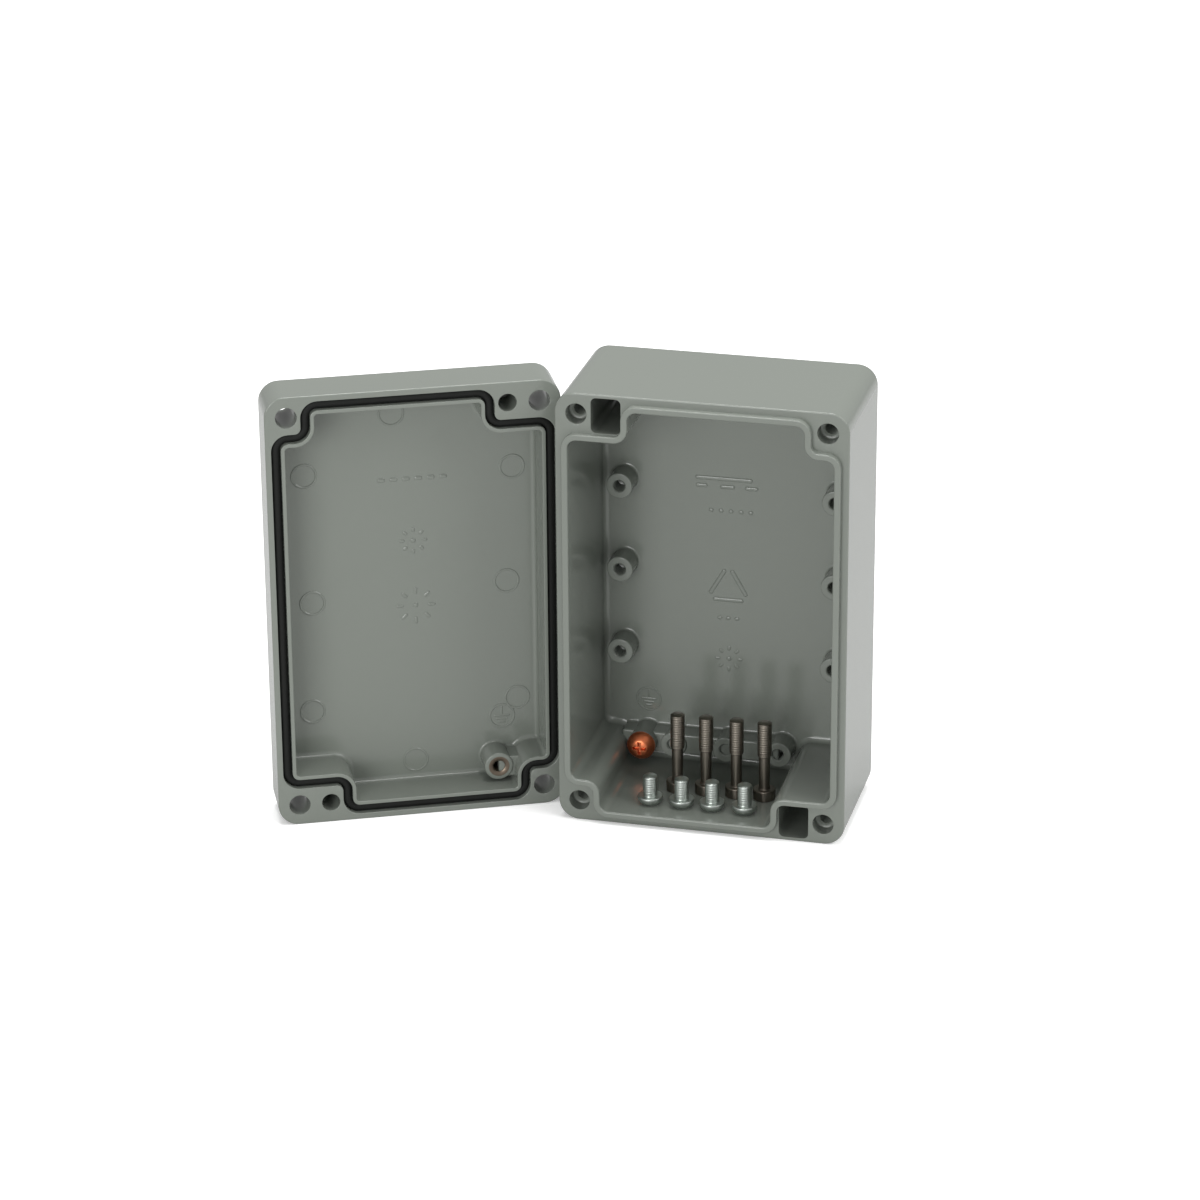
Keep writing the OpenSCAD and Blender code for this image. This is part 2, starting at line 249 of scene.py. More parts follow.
class StageSettings(bpy.types.PropertyGroup):
    """The floor, the lights and the camera."""
    floor: colour("Floor", "FFFFFF", "Colour of the plain floor, as the camera sees it")
    floor_bounce: colour("Floor bounce", "CFCFCF", "Colour of the light that the floor gives back")
    floor_lift: share("Floor lift", 0.25, "Even brightness added to the floor that the camera sees")
    surround: bpy.props.FloatProperty(
        name="Surround", description="Strength of the even light from all sides", default=0.5)
    key_power: power("Key power", 12.5, "Power of the large light on the right")
    top_power: power("Top power", 22.0, "Power of the light above")
    front_power: power("Front power", 13.5, "Power of the light in front")
    azimuth: angle("Azimuth", 14.29, "Camera's turn to the right about the box")
    elevation: angle("Elevation", 22.63, "Camera's height above the horizon")
    roll: angle("Roll", -0.45, "Camera's turn about its own line of sight")
    distance: length("Distance", 1.2075, "From the camera to the point that it looks at")
    lens: bpy.props.FloatProperty(
        name="Lens", description="Focal length on a 36 mm sensor", default=132.84,
        subtype="DISTANCE_CAMERA")
    aim: bpy.props.FloatVectorProperty(
        name="Aim", description="Point looked at, from the middle of the object's box",
        default=(0.00907, 0.00187, -0.00101), size=3, subtype="TRANSLATION", unit="LENGTH")


class BoxSettings(bpy.types.PropertyGroup):
    """All settings of the box, by group."""
    casting: bpy.props.PointerProperty(type=CastingSettings, name="Castings")
    seal: bpy.props.PointerProperty(type=SealSettings, name="Seal")
    hole: bpy.props.PointerProperty(type=HoleSettings, name="Holes")
    boss: bpy.props.PointerProperty(type=BossSettings, name="Bosses")
    screw: bpy.props.PointerProperty(type=ScrewSettings, name="Screws")
    mark: bpy.props.PointerProperty(type=MarkSettings, name="Marks")
    finish: bpy.props.PointerProperty(type=FinishSettings, name="Finishes")
    stage: bpy.props.PointerProperty(type=StageSettings, name="Stage")


# --------------------------------------------------------------------------------------------
# Outlines in (u, v), profiles in (step, w), and places
# --------------------------------------------------------------------------------------------

# How far a boss, rail or mark runs into the wall that carries it
ROOT = 0.0009
# Straight stretches in a full circle, a fillet, a rounded edge and the mouth of a hole
ROUND_SEGMENTS = 48
FILLET_SEGMENTS = 6
EDGE_SEGMENTS = 4
MOUTH_SEGMENTS = 3
# Rows of points in one pitch of a thread
THREAD_ROWS = 6
# The smallest radius that a rectangle's corner and the seal line's bend close in to
LEAST_CORNER = 1e-5
LEAST_BEND = 0.0003


def arc(cu, cv, radius, start, stop, segments=8):
    """Points on an arc between two angles in degrees: the centre plus radius * (cos, sin)."""
    turn = np.radians(np.linspace(start, stop, segments + 1))
    return np.column_stack([cu + radius * np.cos(turn), cv + radius * np.sin(turn)])


def circle(centre, radius):
    """A circle's points, the first one straight to the right of the centre."""
    return arc(*centre, radius, 0, 360, ROUND_SEGMENTS)[:-1]


def rectangle(centre, width, height, radius, inset=0.0, segments=8):
    """A rectangle about centre with four quarter circles as corners, moved inwards by inset."""
    radius = max(radius - inset, LEAST_CORNER)
    du, dv = width / 2 - inset - radius, height / 2 - inset - radius
    corners = ((1, -1, -90), (1, 1, 0), (-1, 1, 90), (-1, -1, 180))
    return np.vstack([
        arc(centre[0] + su * du, centre[1] + sv * dv, radius, start, start + 90, segments)
        for su, sv, start in corners])


def half_turn(points, centre):
    """The same points turned half a turn about centre."""
    return 2 * np.asarray(centre) - points


def seal_outline(box, step, mirrored=False):
    """The seal line moved step towards the cavity: a rectangle that steps in round four blocks.

    The lower right block is the wide one and the upper right the narrow one, and the left half
    is the right half turned by half a turn about the middle.
    """
    casting, seal = box.casting, box.seal
    half, height = box_width() / 2, box_height()
    u1, v0 = half - seal.inset_side - step, seal.inset_end + step
    wide, narrow = half - casting.wide_block - step, half - casting.narrow_block - step
    low, high = casting.block_height + step, height - casting.block_height - step
    corner, bend = seal.corner + step, max(seal.bend - step, LEAST_BEND)
    right = np.vstack([
        arc(wide - bend, v0 + bend, bend, -90, 0),
        arc(wide + corner, low - corner, corner, 180, 90),
        arc(u1 - bend, low + bend, bend, -90, 0),
        arc(u1 - bend, high - bend, bend, 0, 90),
        arc(narrow + corner, high + corner, corner, 270, 180),
        arc(narrow - bend, height - v0 - bend, bend, 0, 90)])
    outline = np.vstack([right, half_turn(right, (0, height / 2))])
    return outline * (-1, 1) if mirrored else outline


def cross(across, slot, inset):
    """A cross recess's outline: one arm and its three quarter turns. The arms' ends are moved in
    by inset, and their sides by a third of it."""
    a, s = across / 2 - inset, slot / 2 - inset / 3
    arms = [np.array([(a, -s), (a, s), (s, s)])]
    for _ in range(3):
        arms.append(arms[-1] @ np.array([(0, 1), (-1, 0)]))
    return np.vstack(arms)


def thread(inner, outer, pitch, start, stop, fade=1.0):
    """Rows of a screw thread between two depths: radius = inner + (outer - inner) * wave, where
    wave is a triangle wave of depth / pitch less the turn's share of a full circle. The wave
    fades in and out over fade pitches."""
    number = max(int(round((stop - start) / pitch * THREAD_ROWS)), 2)
    w = np.linspace(start, stop, number + 1)
    turn = np.arange(ROUND_SEGMENTS) / ROUND_SEGMENTS
    phase = (w[:, None] / pitch - turn[None, :]) % 1.0
    wave = 1 - np.abs(2 * phase - 1)
    ends = np.clip(np.minimum(w - start, stop - w) / (fade * pitch), 0, 1)
    radius = inner + (outer - inner) * wave * ends[:, None]
    return list(zip(radius, w))


def box_width():
    """The box's width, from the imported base."""
    low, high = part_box("base")
    return high[0] - low[0]


def box_height():
    """The box's height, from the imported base."""
    low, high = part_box("base")
    return high[2] - low[2]


def on_base(box):
    """Places (u, w, v) in the row frame for the base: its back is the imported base's back."""
    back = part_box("base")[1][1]

    def place(p):
        return np.column_stack([p[:, 0], back - box.casting.base_depth + p[:, 1], p[:, 2]])
    return place


def on_lid(box):
    """Places (u, w, v) in the row frame for the lid: the mount's axis gives its turn, and the
    middle of the mount's hole gives its place."""
    mount = next(m for m in frame["record"]["mounts"] if m["name"] == "lid_earth")
    sine, cosine = mount["axis"][0], -mount["axis"][1]
    hole_u = box.boss.lid_earth_u
    hole_w = box.boss.lid_earth_setback + mount["dims"]["length_mm"] / 2000
    x0 = mount["pos_m"][0] - hole_u * cosine + hole_w * sine
    y0 = mount["pos_m"][1] - hole_u * sine - hole_w * cosine

    def place(p):
        return np.column_stack([
            x0 + p[:, 0] * cosine - p[:, 1] * sine, y0 + p[:, 0] * sine + p[:, 1] * cosine, p[:, 2]])
    return place


def standing(node):
    """Places (u, w, v) for a screw that stands on its head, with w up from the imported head."""
    low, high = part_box(node)
    cx, cy = (low[0] + high[0]) / 2, (low[1] + high[1]) / 2

    def place(p):
        return np.column_stack([cx + p[:, 0], cy + p[:, 2], low[2] + p[:, 1]])
    return place


def driven(node):
    """Places (u, w, v) for a screw driven along +Y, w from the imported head's outer end."""
    low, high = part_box(node)
    cx, cz = (low[0] + high[0]) / 2, (low[2] + high[2]) / 2

    def place(p):
        return np.column_stack([cx + p[:, 0], low[1] + p[:, 1], cz + p[:, 2]])
    return place


# --------------------------------------------------------------------------------------------
# Closed surfaces
# --------------------------------------------------------------------------------------------

# Points nearer than the weld distance become one, edges under the shortest one are dissolved,
# and faces that meet at more than the sharp angle keep a crisp edge
WELD_DISTANCE = 2e-6
SHORTEST_EDGE = 1e-7
SHARP_ANGLE = math.radians(38)
# Flats are divided in millimetres, to this tolerance
FLAT_TOLERANCE = 1e-5


def inside_odd(points, loops):
    """True where a point lies inside an odd number of the loops: where a line to its right
    crosses their edges an odd number of times."""
    odd = np.zeros(len(points), bool)
    for loop in loops:
        a, b = loop, np.roll(loop, -1, axis=0)
        px, py = points[:, 0, None], points[:, 1, None]
        spans = (a[None, :, 1] > py) != (b[None, :, 1] > py)
        rise = np.where(b[:, 1] == a[:, 1], 1.0, b[:, 1] - a[:, 1])
        cut = a[None, :, 0] + (py - a[None, :, 1]) * ((b - a)[:, 0] / rise)[None, :]
        odd ^= (np.sum(spans & (px < cut), axis=1) % 2).astype(bool)
    return odd


def lifted(outline, w):
    """An outline's (u, v) points at depth w."""
    return np.column_stack([outline[:, 0], np.full(len(outline), w), outline[:, 1]])


class Surface:
    """Collects grids and flats in (u, w, v), and welds them into one closed object."""

    def __init__(self):
        self.points = []
        self.faces = []
        self.total = 0

    def add(self, points, faces):
        """Takes in points with faces that count from this call's first point."""
        self.points.append(np.asarray(points, float))
        self.faces.extend((np.asarray(faces) + self.total).tolist())
        self.total += len(points)

    def grid(self, rows, closed=False):
        """Four-sided faces between rows of points that each close on themselves."""
        rows = np.asarray(rows, float)
        m, n = rows.shape[:2]
        ids = np.arange(m * n).reshape(m, n)
        below = ids if closed else ids[:-1]
        above = np.roll(ids, -1, axis=0) if closed else ids[1:]
        faces = np.stack([
            below, np.roll(below, -1, axis=1), np.roll(above, -1, axis=1), above], axis=-1)
        self.add(rows.reshape(-1, 3), faces.reshape(-1, 4))

    def band(self, outline, profile, closed=False):
        """The outline, a function of the inward step, carried along a profile of (step, w)."""
        self.grid([lifted(outline(step), w) for step, w in profile], closed)

    def turned(self, centre, rows, closed=False, segments=ROUND_SEGMENTS):
        """Rows of (radius, w) turned about the line through centre along w: (u, v) is the centre
        plus radius * (cos, sin). A radius may be one number or one for each segment."""
        turn = 2 * np.pi * np.arange(segments) / segments
        grid = []
        for radius, w in rows:
            u = centre[0] + radius * np.cos(turn)
            v = centre[1] + radius * np.sin(turn)
            grid.append(np.column_stack([u, np.full(segments, w), v]))
        self.grid(grid, closed)

    def flat(self, loops, w):
        """The flat area at w between the loops: inside the first and outside the others."""
        points = np.vstack(loops)
        edges, start = [], 0
        for loop in loops:
            ids = np.arange(start, start + len(loop))
            edges += np.column_stack([ids, np.roll(ids, -1)]).tolist()
            start += len(loop)
        scaled = [Vector(p) for p in points * 1000]
        _, _, faces, origins, _, _ = delaunay_2d_cdt(scaled, edges, [], 0, FLAT_TOLERANCE)
        back = np.array([o[0] if o else -1 for o in origins])
        if (back < 0).any():
            raise RuntimeError("two outlines of a flat cross each other")
        faces = back[np.array([tuple(f) for f in faces])]
        keep = inside_odd(points[faces].mean(axis=1), loops)
        self.add(lifted(points, w), faces[keep])

    def prism(self, outline, profile):
        """A closed solid: a band with a flat at each end."""
        self.band(outline, profile)
        for step, w in (profile[0], profile[-1]):
            self.flat([outline(step)], w)

    def build(self, name, place, material, node=None):
        """Welds the surface, places it and returns it as an object that rides on the body."""
        mesh = bpy.data.meshes.new(name)
        mesh.from_pydata(place(np.vstack(self.points)), [], self.faces)
        work = bmesh.new()
        work.from_mesh(mesh)
        bmesh.ops.remove_doubles(work, verts=work.verts, dist=WELD_DISTANCE)
        bmesh.ops.dissolve_degenerate(work, edges=work.edges, dist=SHORTEST_EDGE)
        bmesh.ops.recalc_face_normals(work, faces=work.faces)
        work.to_mesh(mesh)
        work.free()
        mesh.shade_smooth()
        mesh.set_sharp_from_angle(angle=SHARP_ANGLE)
        mesh.materials.append(material)
        piece = bpy.data.objects.new(name, mesh)
        bpy.context.scene.collection.objects.link(piece)
        smooth = piece.modifiers.new("Weighted normals", "WEIGHTED_NORMAL")
        smooth.keep_sharp = True
        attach(piece, "root")
        if node:
            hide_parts(node)
        return piece


# --------------------------------------------------------------------------------------------
# Materials
# --------------------------------------------------------------------------------------------

def add_node(tree, kind, **inputs):
    """A new shader node of that kind, with its input sockets set by name."""
    node = tree.nodes.new(kind)
    for name, value in inputs.items():
        node.inputs[name.replace("_", " ")].default_value = value
    return node


def new_material(name, base, metallic=0.0, roughness=0.5):
    """A material with one principled shader. Returns the material, its tree and the shader."""
    material = bpy.data.materials.new(name)
    material.use_nodes = True
    tree = material.node_tree
    tree.nodes.clear()
    shader = add_node(tree, "ShaderNodeBsdfPrincipled", Base_Color=tuple(base),
                      Metallic=metallic, Roughness=roughness)
    output = add_node(tree, "ShaderNodeOutputMaterial")
    tree.links.new(shader.outputs["BSDF"], output.inputs["Surface"])
    return material, tree, shader


def add_grain(tree, shader, size_mm, depth_mm):
    """Bumps of that depth on a shader, from noise in the object's own coordinates whose lumps
    are about size_mm across."""
    place = add_node(tree, "ShaderNodeTexCoord")
    noise = add_node(tree, "ShaderNodeTexNoise", Scale=1000.0 / size_mm, Detail=2.0)
    bump = add_node(tree, "ShaderNodeBump", Strength=1.0, Distance=depth_mm / 1000)
    tree.links.new(place.outputs["Object"], noise.inputs["Vector"])
    tree.links.new(noise.outputs["Fac"], bump.inputs["Height"])
    tree.links.new(bump.outputs["Normal"], shader.inputs["Normal"])


def powder_coat(name, finish):
    """Powder coat on die cast aluminium: a soft, even sheen with a fine orange peel."""
    material, tree, shader = new_material(name, finish.coat, roughness=finish.coat_roughness)
    add_grain(tree, shader, size_mm=finish.grain * 1000, depth_mm=0.004)
    return material


def bare_aluminium(name, finish):
    """Machined aluminium: a brownish ring and bright flanks round the tapped hole."""
    material, tree, shader = new_material(name, finish.bare, metallic=1.0, roughness=0.4)
    add_grain(tree, shader, size_mm=0.12, depth_mm=0.003)
    return material


def black_rubber(name, finish):
    """Extruded rubber: nearly black, with a dull line of light along its crown."""
    material, tree, shader = new_material(name, finish.rubber, roughness=0.6)
    shader.inputs["Specular IOR Level"].default_value = 0.25
    add_grain(tree, shader, size_mm=0.2, depth_mm=0.004)
    return material


def stainless_steel(name, finish):
    """Rolled stainless steel thread and shank: warm grey with soft, long reflections."""
    material, tree, shader = new_material(name, finish.stainless, metallic=1.0, roughness=0.38)
    add_grain(tree, shader, size_mm=0.1, depth_mm=0.002)
    return material


def bright_zinc(name, finish):
    """Electroplated zinc: soft, bluish grey reflections."""
    material, tree, shader = new_material(name, finish.zinc, metallic=1.0, roughness=0.36)
    add_grain(tree, shader, size_mm=0.15, depth_mm=0.002)
    return material


def copper_plate(name, finish):
    """Copper plating: brownish red metal, mottled with warm, broad reflections. The real mottle
    is finer and is drawn this coarse so that it shows."""
    material, tree, shader = new_material(name, finish.copper, metallic=1.0, roughness=0.42)
    add_grain(tree, shader, size_mm=0.9, depth_mm=0.04)
    return material


FINISHES = {
    "casting": ("powder coated die cast aluminium", powder_coat),
    "bare": ("machined aluminium", bare_aluminium),
    "seal": ("extruded rubber", black_rubber),
    "stainless": ("rolled stainless steel", stainless_steel),
    "zinc": ("electroplated zinc on steel", bright_zinc),
    "copper_finish": ("copper plated steel", copper_plate),
}


def finish_of(box, slot):
    """The material of that slot, made once."""
    name, maker = FINISHES[slot]
    return bpy.data.materials.get(name) or maker(name, box.finish)


# --------------------------------------------------------------------------------------------
# The castings
# --------------------------------------------------------------------------------------------

# Widening at the mouth of a boss's tapped hole and of a corner's, and each drilled point's depth
BOSS_SINK = 0.0003
CORNER_SINK = 0.0004
TAPPED_POINT = 0.0004
BLIND_POINT = 0.0006
# The lid's machined earth face: the coat's chamfer round it, how far it stands clear of the coat,
# and the depth of its countersink
BARE_CHAMFER = 0.0004
BARE_RISE = 0.00003
BARE_SINK = 0.0002


def casting_outside(surface, box, depth, edge):
    """The outer side of a casting, from the rim's rounded edge to the back's. Returns the
    outlines in which the rim's flat and the back's flat end."""
    rim = box.casting.rim_rounding
    middle = (0, box_height() / 2)

    def outline(inset):
        return rectangle(
            middle, box_width(), box_height(), box.casting.corner_radius, inset, segments=12)

    surface.band(outline, np.vstack([
        arc(rim, rim, rim, -90, -180, EDGE_SEGMENTS), arc(edge, depth - edge, edge, 180, 90)]))
    return outline(rim), outline(edge)


def screw_centres(box):
    """The four lid screws' places."""
    u, v = box_width() / 2 - box.casting.screw_inset, box.casting.screw_inset
    return [(su * u, z) for su in (-1, 1) for z in (v, box_height() - v)]


def mouth(box, radius):
    """Rows of a hole's rounded mouth: a quarter circle from the face down to the radius."""
    edge = box.hole.mouth
    return list(arc(radius + edge, edge, edge, -90, -180, MOUTH_SEGMENTS))


def tapped_hole(box, sink, start, depth):
    """Rows of a tapped hole from its countersunk mouth to its drilled point."""
    hole, end = box.hole, start + depth
    rows = [(hole.core + sink, start), (hole.core, start + sink)]
    rows += thread(hole.core, hole.crest, hole.pitch, start + sink, end)
    return rows + [(0.0, end + TAPPED_POINT)]


def boss_side(box, radius, face, floor):
    """Rows of a boss's side, from its filleted foot in the back wall to its rounded edge."""
    edge, foot = box.boss.edge, box.boss.foot
    rows = [(radius + foot, floor + ROOT)]
    rows += list(arc(radius + foot, floor - foot, foot, 90, 180, EDGE_SEGMENTS))
    rows += list(arc(radius - edge, face + edge, edge, 0, -90, EDGE_SEGMENTS))
    return rows


def boss(surface, box, centre, radius, face, floor, depth):
    """A round boss with a tapped hole."""
    rows = [(0.0, floor + ROOT)] + boss_side(box, radius, face, floor)
    surface.turned(centre, rows + tapped_hole(box, BOSS_SINK, face, depth))


def rail(surface, box, start, stop, v, front, floor):
    """A bar on the back wall from start to stop, with rounded front edges and a filleted foot."""
    edge, foot, corner = box.boss.rail_edge, box.boss.foot, box.boss.rail_corner
    centre = ((start + stop) / 2, v)
    profile = np.vstack([
        arc(edge, front + edge, edge, -90, -180, EDGE_SEGMENTS),
        arc(-foot, floor - foot, foot, 0, 90, EDGE_SEGMENTS), (-foot, floor + ROOT)])
    surface.prism(
        lambda inset: rectangle(centre, stop - start, box.boss.rail_height, corner, inset), profile)


def base_cavity(surface, box, floor):
    """The tongue, the cavity's walls and the back wall's inside. Returns the tongue's foot."""
    side, top = box.seal.tongue_width / 2, -box.seal.tongue_height
    outer, inner = box.seal.tongue_outer, box.seal.tongue_inner
    fillet = box.casting.floor_fillet

    def tongue(step):
        return seal_outline(box, step)

    surface.band(tongue, np.vstack([
        (-side, 0), arc(-side + outer, top + outer, outer, 180, 270, EDGE_SEGMENTS),
        arc(side - inner, top + inner, inner, -90, 0, EDGE_SEGMENTS + 1),
        arc(side + fillet, floor - fillet, fillet, 180, 90, FILLET_SEGMENTS)]))
    surface.flat([tongue(side + fillet)], floor)
    return tongue(-side)


def channel_outline(box, centre, inset):
    """A wall-fixing channel's outline."""
    hole = box.hole
    return rectangle(centre, hole.channel_width, hole.channel_height, hole.channel_corner, inset)


def fixing_channels(surface, box, depth):
    """Two wall-fixing channels, each with a hole through its bottom. A channel widens just behind
    the rim and closes in evenly to its bottom. Returns the outlines in the rim and in the back."""
    hole, edge, inner = box.hole, box.hole.mouth, box.hole.inner_edge
    bottom = depth - hole.fixing_wall
    fixing = np.array((box_width() / 2 - hole.fixing_inset_u, hole.fixing_inset_v))
    profile = np.vstack([
        arc(0, edge, edge, -90, -180, MOUTH_SEGMENTS), (0, bottom - inner), (inner, bottom)])
    front, back = [], []
    for centre in (fixing, half_turn(fixing, (0, box_height() / 2))):
        through = circle(centre, hole.fixing_radius)
        surface.band(lambda inset: channel_outline(box, centre, inset), profile)
        surface.flat([channel_outline(box, centre, inner), through], bottom)
        surface.turned(centre, [(hole.fixing_radius, bottom), (hole.fixing_radius, depth)])
        front.append(channel_outline(box, centre, 0))
        back.append(through)
    return front, back


def corner_holes(surface, box):
    """The lid screws' recesses in the base, each over a tapped hole. Returns their mouths."""
    hole, inner = box.hole, box.hole.inner_edge
    rows = mouth(box, hole.clearance)
    rows += list(arc(hole.clearance - inner, hole.recess - inner, inner, 0, 90, MOUTH_SEGMENTS))
    rows += tapped_hole(box, CORNER_SINK, hole.recess, hole.corner_thread)
    for centre in screw_centres(box):
        surface.turned(centre, rows)
    return [circle(centre, hole.clearance + hole.mouth) for centre in screw_centres(box)]


def mounting_bosses(surface, box, floor):
    """Two columns and a lower row of three bosses each, the earth boss, which stands further out,
    and the rail behind the row."""
    sizes, depth = box.boss, box.hole.boss_thread
    face, middle = floor - sizes.height, box_height() / 2
    spots = [(side * sizes.column_x, middle + place * sizes.column_pitch)
             for side in (-1, 1) for place in (-1, 0, 1)]
    spots += [(place * sizes.row_pitch, sizes.row_v) for place in (-1, 0, 1)]
    for spot in spots:
        boss(surface, box, spot, sizes.radius, face, floor, depth)
    low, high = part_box("earth_screw")
    earth = ((low[0] + high[0]) / 2, (low[2] + high[2]) / 2)
    extra = sizes.earth_extra
    boss(surface, box, earth, sizes.earth_radius, face - extra, floor, depth + extra)
    rail(surface, box, -box_width() / 2 + box.casting.narrow_block - ROOT, sizes.row_pitch,
         sizes.row_v, face + sizes.rail_setback, floor)


def build_base(box):
    """The base: rim, tongue, cavity, channels, corner holes, bosses and rail as one piece."""
    surface = Surface()
    depth = box.casting.base_depth
    floor = depth - box.casting.wall
    rim, back = casting_outside(surface, box, depth, box.casting.base_edge)
    tongue = base_cavity(surface, box, floor)
    channels, fixing_holes = fixing_channels(surface, box, depth)
    surface.flat([rim, tongue, *channels, *corner_holes(surface, box)], 0.0)
    surface.flat([back, *fixing_holes], depth)
    mounting_bosses(surface, box, floor)
    return surface.build("base_casting", on_base(box), finish_of(box, "casting"), "base")


def lid_cavity(surface, box, floor):
    """The groove, the lip, the cavity's walls and the back wall's inside. Returns the groove's
    outer edge."""
    seal, fillet = box.seal, box.casting.lid_fillet
    side, bed, edge = seal.groove_width / 2, seal.groove_depth, seal.groove_edge
    inner = side + seal.lip_width

    def groove(step):
        return seal_outline(box, step, mirrored=True)

    surface.band(groove, np.vstack([
        arc(-side - edge, edge, edge, -90, 0, MOUTH_SEGMENTS), (-side, bed - edge),
        (-side + edge, bed), (side - edge, bed), (side, bed - edge),
        arc(side + edge, edge, edge, 180, 270, MOUTH_SEGMENTS),
        arc(inner - edge, edge, edge, -90, 0, MOUTH_SEGMENTS),
        arc(inner + fillet, floor - fillet, fillet, 180, 90, FILLET_SEGMENTS)]))
    surface.flat([groove(inner + fillet)], floor)
    return groove(-side - edge)


def lid_holes(surface, box, depth):
    """The lid screws' holes with their head seats in the back, and two blind holes. Returns the
    outlines in the rim and in the back."""
    hole, seat = box.hole, depth - box.hole.seat_depth
    rows = mouth(box, hole.clearance)
    rows += [(hole.clearance, seat), (hole.seat_radius, seat), (hole.seat_radius, depth)]
    front, back = [], []
    for centre in screw_centres(box):
        surface.turned(centre, rows)
        front.append(circle(centre, hole.clearance + hole.mouth))
        back.append(circle(centre, hole.seat_radius))
    blind = np.array((box_width() / 2 - hole.blind_inset, box_height() - box.casting.screw_inset))
    rows = mouth(box, hole.blind_radius)
    rows += [(hole.blind_radius, hole.blind_depth), (0.0, hole.blind_depth + BLIND_POINT)]
    for centre in (blind, half_turn(blind, (0, box_height() / 2))):
        surface.turned(centre, rows)
        front.append(circle(centre, hole.blind_radius + hole.mouth))
    return front, back


def lid_earth_boss(surface, box, floor):
    """The coated part of the lid's earth boss, and the web that joins it to the corner block."""
    sizes, face = box.boss, box.boss.lid_earth_setback
    radius = sizes.bare_radius
    rows = [(radius - BARE_CHAMFER, floor + ROOT)]
    rows += boss_side(box, sizes.earth_radius, face, floor)
    rows += [(radius, face), (radius - BARE_CHAMFER, face + BARE_CHAMFER)]
    surface.turned((sizes.lid_earth_u, sizes.lid_earth_v), rows, closed=True)
    setback = sizes.rail_setback / 2
    rail(surface, box, sizes.lid_earth_u, box_width() / 2 - box.casting.narrow_block + ROOT,
         sizes.lid_earth_v - setback, face + setback, floor)


def build_lid(box):
    """The lid: rim, gasket groove, lip, cavity, holes, and its earth boss's coated part."""
    surface = Surface()
    depth = box.casting.lid_depth
    floor = depth - box.casting.wall
    rim, back = casting_outside(surface, box, depth, box.casting.lid_edge)
    groove = lid_cavity(surface, box, floor)
    mouths, seats = lid_holes(surface, box, depth)
    surface.flat([rim, groove, *mouths], 0.0)
    surface.flat([back, *seats], depth)
    lid_earth_boss(surface, box, floor)
    return surface.build("lid_casting", on_lid(box), finish_of(box, "casting"), "lid")


def build_lid_earth(box):
    """The bare machined face and thread of the lid's earth boss."""
    hole, radius, coat = box.hole, box.boss.bare_radius, box.boss.lid_earth_setback
    face, end = coat - BARE_RISE, box.casting.lid_depth - box.casting.wall + ROOT / 2
    rows = [(radius, end), (radius, face), (hole.core + BOSS_SINK, face)]
    rows += thread(hole.core, hole.crest, hole.pitch, coat + BARE_SINK, end)
    surface = Surface()
    surface.turned((box.boss.lid_earth_u, box.boss.lid_earth_v), rows, closed=True)
    return surface.build("lid_earth_thread", on_lid(box), finish_of(box, "bare"))


def build_gasket(box):
    """The gasket: a cord with a flat bed and half an ellipse as its crown, carried round the
    lid's groove."""
    seal = box.seal
    side, bed, rise = seal.gasket_width / 2, seal.groove_depth, seal.gasket_crown
    shoulder = bed - seal.gasket_height + rise
    top = arc(0, 0, 1, 180, 360, segments=12) * (side, rise) + (0, shoulder)
    surface = Surface()
    surface.band(lambda step: seal_outline(box, step, mirrored=True),
                 np.vstack([(-side, bed), top, (side, bed)]), closed=True)
    return surface.build("gasket_cord", on_lid(box), finish_of(box, "seal"), "gasket")


# --------------------------------------------------------------------------------------------
# Raised marks
# --------------------------------------------------------------------------------------------

# Sizes of the marks: the upright edge of a ring, the share of a bar's width that rounds each of
# its sides, the shares of the crown's angle at which a bar has its rows, and a short bar's width
RING_EDGE = 0.00005
BAR_ROUNDING = 0.45
CROWN_ROWS = np.linspace(0.1, 1, 6)
SHORT_BAR = 0.0014
# The earth sign, in shares of its ring's radius: the upright line's middle and length, the bars'
# widths, the first bar's place over the middle and the step down to the next
EARTH_LINE = (0.45, 0.8)
EARTH_BARS = (1.3, 0.95, 0.6)
EARTH_FIRST = 0.02
EARTH_STEP = 0.28
# On the base's back wall, with places as (u, v): bars with their width and share of the bar
# height, rows with their first bar's place, pitch and number, and the triangle's radius
BASE_BARS = (
    (-0.0022, 0.0891, 0.0162, 1.0), (-0.0085, 0.0868, 0.0034, 0.95),
    (-0.0012, 0.0868, 0.0042, 0.95), (0.0056, 0.0868, 0.0038, 0.95))
BASE_UPPER_ROW = ((-0.0058, 0.0797), 0.0028, 5)
BASE_LOWER_ROW = ((-0.0032, 0.0478), 0.0024, 3)
BASE_TRIANGLE = (-0.0009, 0.0568)
TRIANGLE_RADIUS = 0.007
BASE_ROSETTE = (-0.0006, 0.0356)
BASE_EARTH = (-0.0236, 0.0211)
# On the lid's back wall: the ejector pins, a row with its bars' width, two rosettes, of which the
# lower one is larger by its share, and the earth sign
LID_PINS = (
    (-0.0043, 0.1136), (0.0285, 0.0959), (0.0265, 0.0624), (0.0001, 0.0107),
    (-0.0285, 0.0974), (-0.0273, 0.0601), (-0.0282, 0.0278), (0.029, 0.0272))
LID_ROW = ((-0.0075, 0.0945), 0.0034, 6)
LID_ROW_BAR = 0.0022
LID_ROSETTES = ((0.0009, 0.0764, 1.0), (0.0012, 0.0572, 1.4))
LID_EARTH = (0.0246, 0.0219)


